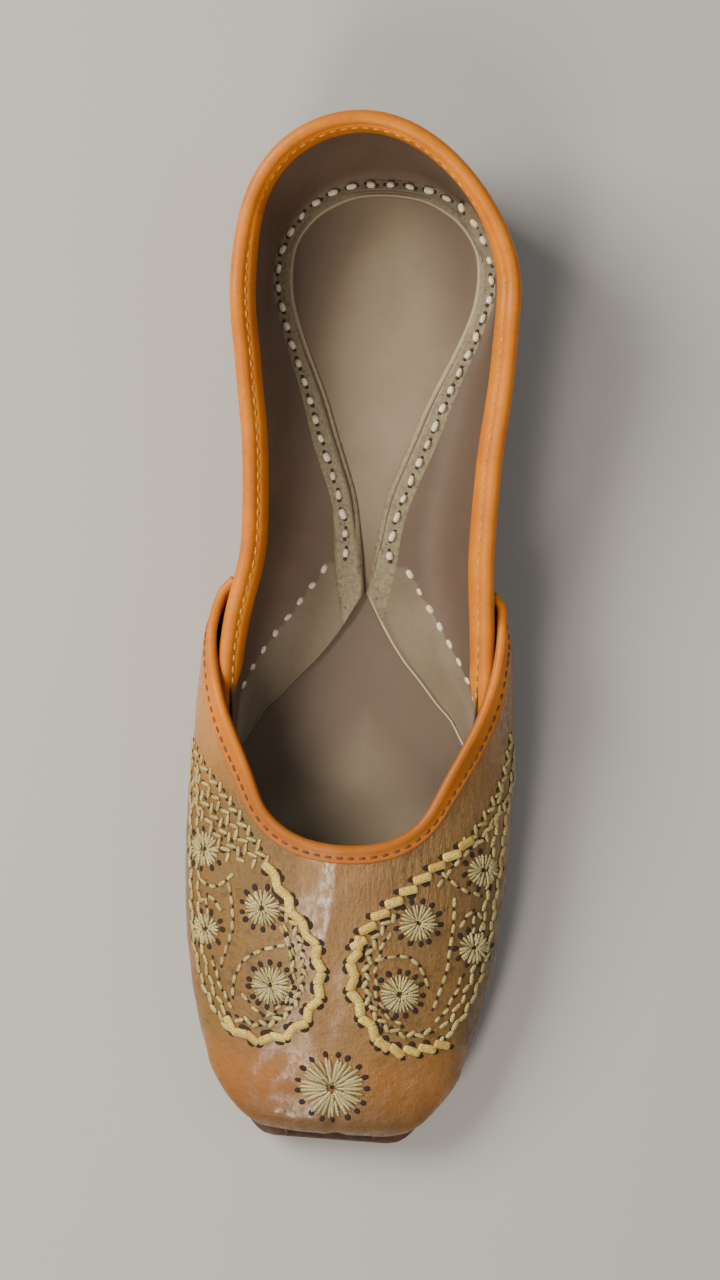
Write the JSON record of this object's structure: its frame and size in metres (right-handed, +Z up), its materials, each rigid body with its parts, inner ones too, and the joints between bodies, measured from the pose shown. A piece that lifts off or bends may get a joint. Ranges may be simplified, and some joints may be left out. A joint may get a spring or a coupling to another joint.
{
  "type": "mojari shoe",
  "caption": "Flat leather slip-on shoe with a square chisel toe, deep round throat, waisted sole and soft stitched back quarter, empty and standing on its sole.",
  "frame": {"origin": "on the floor under the middle of the shoe's length and width", "axes": "+Z up, +Y towards the heel, -Y towards the toe, +X across the shoe"},
  "size_m": [0.082, 0.2544, 0.0543],
  "materials": {
    "vamp_leather": "glossy tan leather with fine grain",
    "binding_leather": "thin orange leather, softly polished",
    "lining_leather": "matt taupe lining leather",
    "sole_leather": "dense brown sole leather",
    "thread": "thick cream cotton and dull gold thread"
  },
  "bodies": {
    "root": {"upper": "vamp_leather", "collar_binding": "binding_leather", "throat_binding": "binding_leather", "insole": "lining_leather", "outsole": "sole_leather", "heel_lift": "sole_leather"}
  },
  "joints": []
}
